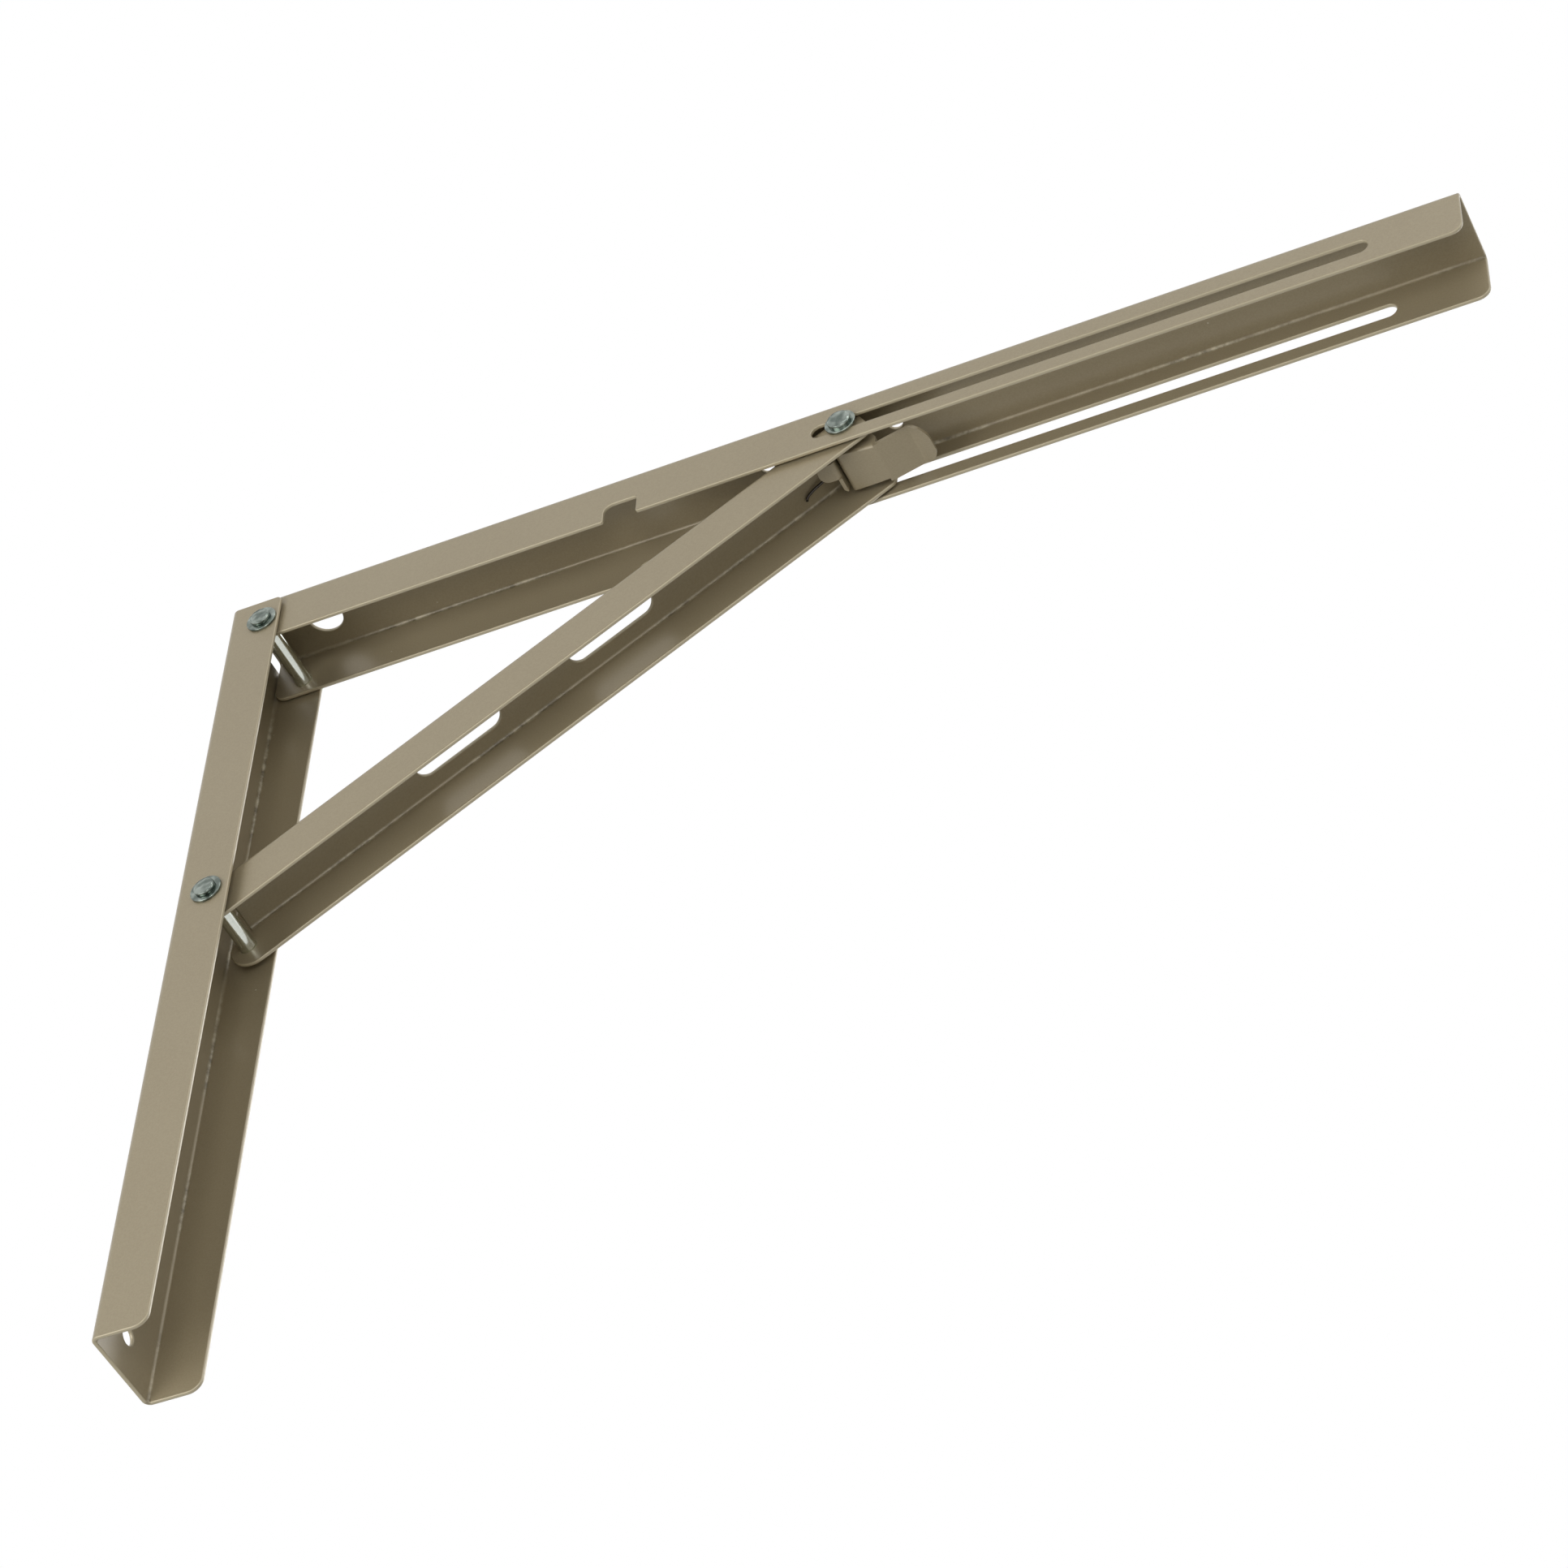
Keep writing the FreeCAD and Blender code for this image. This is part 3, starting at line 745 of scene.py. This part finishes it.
def hammered(end, seed):
    """Inputs for a rivet whose near end, at this level, the hammer has dented."""
    return {
        "Dented Below": end + dent_depth / 2,
        "Dent Depth": dent_depth,
        "Dent Size": dent_size,
        "Seed": seed,
    }


rivet_low, rivet_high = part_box("upper_pivot_rivet")
head_r = (rivet_high.z - rivet_low.z) / 2
wall_half = wall_width / 2
washer_thick = 1.0 * mm
rivet_outline = upset_end(rivet_low.y, -wall_half - washer_thick, peen_r)
rivet_outline += pressed_head(wall_half, rivet_high.y, head_r)
pivot_rivet = turned("pivot_rivet", rivet_outline)
places = {"First Place": upper_pivot, "Last Place": lower_pivot, "Count": 2, "Finish": bright_zinc}
pivot_rivets = made_by(riveting, pivot_rivet, hammered(rivet_low.y, 3) | places)
finished("pivot_rivets", pivot_rivets, "zinc_steel", "wall", "upper_pivot_rivet", "lower_pivot_rivet")

# A punched steel washer lies under each upset end, zinc plated like the rivets. Punching leaves its outer
# face with a soft rounded edge. Those on the wall channel are made together, and the slider has its own.
washer_edge_r = 0.25 * mm
washer_edge_steps = 4

washering, given = geometry_tree(
    "washers_along_a_line",
    ("First Place", "Vector"),
    ("Last Place", "Vector"),
    ("Count", "Int"),
    ("Bore Radius", "Float"),
    ("Outer Radius", "Float"),
    ("Thickness", "Float"),
    ("Edge Radius", "Float"),
    ("Finish", "Material"),
)
radii = {0: given["Outer Radius"], 1: given["Bore Radius"]}
width = add(washering, "ShaderNodeMath", radii, operation="SUBTRACT")
both = add(washering, "ShaderNodeMath", radii, operation="ADD")
middle = add(washering, "ShaderNodeMath", {0: both.outputs[0], 1: 0.5}, operation="MULTIPLY")
circle = add(
    washering,
    "GeometryNodeCurvePrimitiveCircle",
    {"Resolution": ring_steps, "Radius": middle.outputs[0]},
)
section = add(
    washering,
    "GeometryNodeCurvePrimitiveQuadrilateral",
    {"Width": width.outputs[0], "Height": given["Thickness"]},
)
soft = add(
    washering,
    "GeometryNodeFilletCurve",
    {"Curve": section.outputs[0], "Radius": given["Edge Radius"], "Count": washer_edge_steps},
    mode="POLY",
)
ring = add(
    washering,
    "GeometryNodeCurveToMesh",
    {"Curve": circle.outputs[0], "Profile Curve": soft.outputs[0]},
)
line = add(
    washering,
    "GeometryNodeMeshLine",
    {"Count": given["Count"], "Start Location": given["First Place"], "Offset": given["Last Place"]},
    mode="END_POINTS",
)
copies = add(
    washering,
    "GeometryNodeInstanceOnPoints",
    {"Points": line.outputs[0], "Instance": ring.outputs[0], "Rotation": (math.pi / 2, 0, 0)},
)
real = add(washering, "GeometryNodeRealizeInstances", {0: copies.outputs[0]})
plated = add(washering, "GeometryNodeSetMaterial", {"Geometry": real.outputs[0], "Material": given["Finish"]})
add(washering, "NodeGroupOutput", {0: plated.outputs[0]})


def washers(name, body, *nodes):
    """Washers of the size and at the places that their CAD nodes have."""
    low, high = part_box(nodes[0])
    last_low, last_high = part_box(nodes[-1])
    values = {
        "First Place": (low + high) / 2,
        "Last Place": (last_low + last_high) / 2,
        "Count": len(nodes),
        "Bore Radius": rivet_hole_r,
        "Outer Radius": (high.z - low.z) / 2,
        "Thickness": high.y - low.y,
        "Edge Radius": washer_edge_r,
        "Finish": bright_zinc,
    }
    mesh = made_by(washering, bpy.data.meshes.new(name), values)
    mesh.shade_smooth()
    finished(name, mesh, "zinc_steel", body, *nodes)


washers("pivot_washers", "wall", "upper_pivot_washer", "lower_pivot_washer")

# The slider is a third rivet, which runs in the arm's two slots and holds the strut's end between them. It is
# cut in three here, as in the CAD: its ends ride along the slots and its middle stays in the strut.
slider_peen_r = 4.25 * mm
far_head_gap = 0.1 * mm

near_low, near_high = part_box("slider_near_end")
near_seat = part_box("slider_washer")[0].y
# The upset end starts at the washer's back, so the two overlap unseen inside the washer.
near_outline = upset_end(near_low.y, near_seat + washer_thick, slider_peen_r)
near_outline += [(pin_r, near_high.y, 0), (0, near_high.y, 0)]
near_form = turned("slider_near_end_form", near_outline)
places = {"First Place": slider_pivot, "Last Place": slider_pivot, "Count": 1, "Finish": bright_zinc}
near_end = made_by(riveting, near_form, hammered(near_low.y, 8) | places)
finished("slider_near_rivet_end", near_end, "zinc_steel", "slider", "slider_near_end")
washers("slider_washer_ring", "slider", "slider_washer")

far_low, far_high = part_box("slider_far_end")
far_head_r = (far_high.z - far_low.z) / 2
far_outline = [(0, far_low.y, 0), (pin_r, far_low.y, 0)]
far_outline += pressed_head(arm_width / 2 + far_head_gap, far_high.y, far_head_r)
far_form = turned("slider_far_end_form", far_outline)
undented = {"Dented Below": -arm_width, "Dent Depth": 0.0, "Dent Size": dent_size, "Seed": 0}
far_end = made_by(riveting, far_form, undented | places)
finished("slider_far_rivet_end", far_end, "zinc_steel", "slider", "slider_far_end")

pin_low, pin_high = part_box("slider_cross_pin")
pin_outline = [(0, pin_low.y, 0), (pin_r, pin_low.y, 0), (pin_r, pin_high.y, 0), (0, pin_high.y, 0)]
pin_form = turned("slider_cross_pin_form", pin_outline)
middle_pin = made_by(riveting, pin_form, undented | places)
finished("slider_middle_pin", middle_pin, "zinc_steel", "strut", "slider_cross_pin")

# The release lever hangs on the slider between the strut's flanges: a tray of 1.5 mm sheet with two ears, and
# a cranked thumb tab. It is pressed in one piece and coated like the channels. Its CAD shape is kept, and
# only its edges are eased.
eased_edge = 0.3 * mm
eased_steps = 3
sharp_angle = math.radians(35)
flat_angle = math.radians(1)
merge_gap = 0.002 * mm


def eased(name, node):
    """Merged copy of a CAD piece, with its sharp edges rounded and its coat on."""
    form = bmesh.new()
    form.from_mesh(frame["nodes"][node].data)
    bmesh.ops.remove_doubles(form, verts=form.verts, dist=merge_gap)
    bmesh.ops.dissolve_limit(form, angle_limit=flat_angle, verts=form.verts, edges=form.edges)
    bmesh.ops.recalc_face_normals(form, faces=form.faces)
    mesh = bpy.data.meshes.new(name)
    form.to_mesh(mesh)
    form.free()
    mesh.shade_smooth()
    mesh.materials.append(champagne_coat)
    piece = finished(name, mesh, "powder_coat", "latch", node)
    rounding = piece.modifiers.new("eased_edges", "BEVEL")
    rounding.width = eased_edge
    rounding.segments = eased_steps
    rounding.limit_method = "ANGLE"
    rounding.angle_limit = sharp_angle
    rounding.harden_normals = True
    piece.modifiers.move(1, 0)


eased("release_lever", "latch_lever")

# The catch plate is a small folded channel of 1.3 mm sheet, hung on the slider inside the lever. Its tongue
# points down the strut. It is coated like the lever, and its CAD shape is kept in the same way.
eased("catch_plate", "latch_catch_plate")

# A torsion spring of 1 mm wire is wound round the slider, and pushes the lever away from the strut's web. Its
# long leg lies along that web and ends in a short hook. It is drawn spring steel, oiled and not plated: dark
# grey with a low shine, and mottled by the scale that drawing leaves.
wire_r = 0.5 * mm
coil_r = 3.9 * mm
coil_turns = 5
coil_pitch = 1.06 * mm
knots_per_turn = 12
steps_per_knot = 6
wire_sides = 16
web_leg_reach = 22.0 * mm
web_leg_slant = 2.0 * mm
web_leg_hook = 2.5 * mm
web_leg_level = 6.25 * mm
floor_leg_reach = 8.0 * mm
floor_leg_level = -6.39 * mm
scale_depth = 0.02 * mm

drawn_wire, tree = surface("oiled_drawn_spring_wire")
place = add(tree, "ShaderNodeTexCoord").outputs["Object"]
scale_marks = add(tree, "ShaderNodeTexNoise", {"Vector": place, "Scale": 1 / rub_size, "Detail": 4.0})
tone = add(
    tree,
    "ShaderNodeMix",
    {"Factor": scale_marks.outputs[0], 6: srgb("302D2A"), 7: srgb("65615C")},
    data_type="RGBA",
)
gloss = add(
    tree,
    "ShaderNodeMapRange",
    {"Value": scale_marks.outputs[0], "From Min": 0.3, "From Max": 0.7, "To Min": 0.25, "To Max": 0.42},
)
pits = add(
    tree,
    "ShaderNodeBump",
    {"Height": scale_marks.outputs[0], "Strength": 0.2, "Distance": scale_depth},
)
wire = add(
    tree,
    "ShaderNodeBsdfPrincipled",
    {
        "Base Color": tone.outputs[2],
        "Roughness": gloss.outputs[0],
        "Normal": pits.outputs[0],
        "Metallic": 1.0,
    },
)
add(tree, "ShaderNodeOutputMaterial", {0: wire.outputs[0]})

winding, given = geometry_tree("wire_along_a_path", ("Wire Radius", "Float"), ("Finish", "Material"))
section = add(
    winding,
    "GeometryNodeCurvePrimitiveCircle",
    {"Resolution": wire_sides, "Radius": given["Wire Radius"]},
)
drawn_out = add(
    winding,
    "GeometryNodeCurveToMesh",
    {"Curve": given["Geometry"], "Profile Curve": section.outputs[0], "Fill Caps": True},
)
oiled = add(
    winding,
    "GeometryNodeSetMaterial",
    {"Geometry": drawn_out.outputs[0], "Material": given["Finish"]},
)
add(winding, "NodeGroupOutput", {0: oiled.outputs[0]})

# Each leg leaves the coil along a tangent. The knots stand a little outside the coil, because the smooth
# line touches only the middles of the straight runs between them.
tilt = Matrix.Rotation(strut_tilt, 2)
web_end = tilt @ Vector((-web_leg_reach, web_leg_level))
floor_end = Vector((floor_leg_reach, floor_leg_level))
leave_web = math.atan2(web_end.y, web_end.x) - math.acos(coil_r / web_end.length)
leave_floor = math.atan2(floor_end.y, floor_end.x) + math.acos(coil_r / floor_end.length)
coil_angle = 2 * math.pi * coil_turns + leave_web - leave_floor
steps = round(coil_angle / (2 * math.pi) * knots_per_turn)
knot_r = coil_r / math.cos(coil_angle / steps / 2)
half_height = coil_pitch * coil_angle / (4 * math.pi)
knots = [(floor_end.x, floor_end.y, -half_height)]
for k in range(steps):
    angle = leave_floor + coil_angle * (k + 0.5) / steps
    height = (2 * (k + 0.5) / steps - 1) * half_height
    knots.append((knot_r * math.cos(angle), knot_r * math.sin(angle), height))
knots.append((web_end.x, web_end.y, half_height + web_leg_slant))
knots.append((web_end.x, web_end.y, half_height + web_leg_slant + web_leg_hook))

path = bpy.data.curves.new("spring_path", "CURVE")
path.dimensions = "3D"
path.resolution_u = steps_per_knot
spline = path.splines.new("NURBS")
spline.points.add(len(knots) - 1)
for knot, (x, z, y) in zip(spline.points, knots):
    knot.co = (slider_pivot.x + x, y, slider_pivot.z + z, 1)
spline.order_u = 3
spline.use_endpoint_u = True
spring = made_by(winding, path, {"Wire Radius": wire_r, "Finish": drawn_wire})
spring.shade_smooth()
finished("torsion_spring", spring, "spring_steel", "latch", "latch_spring")
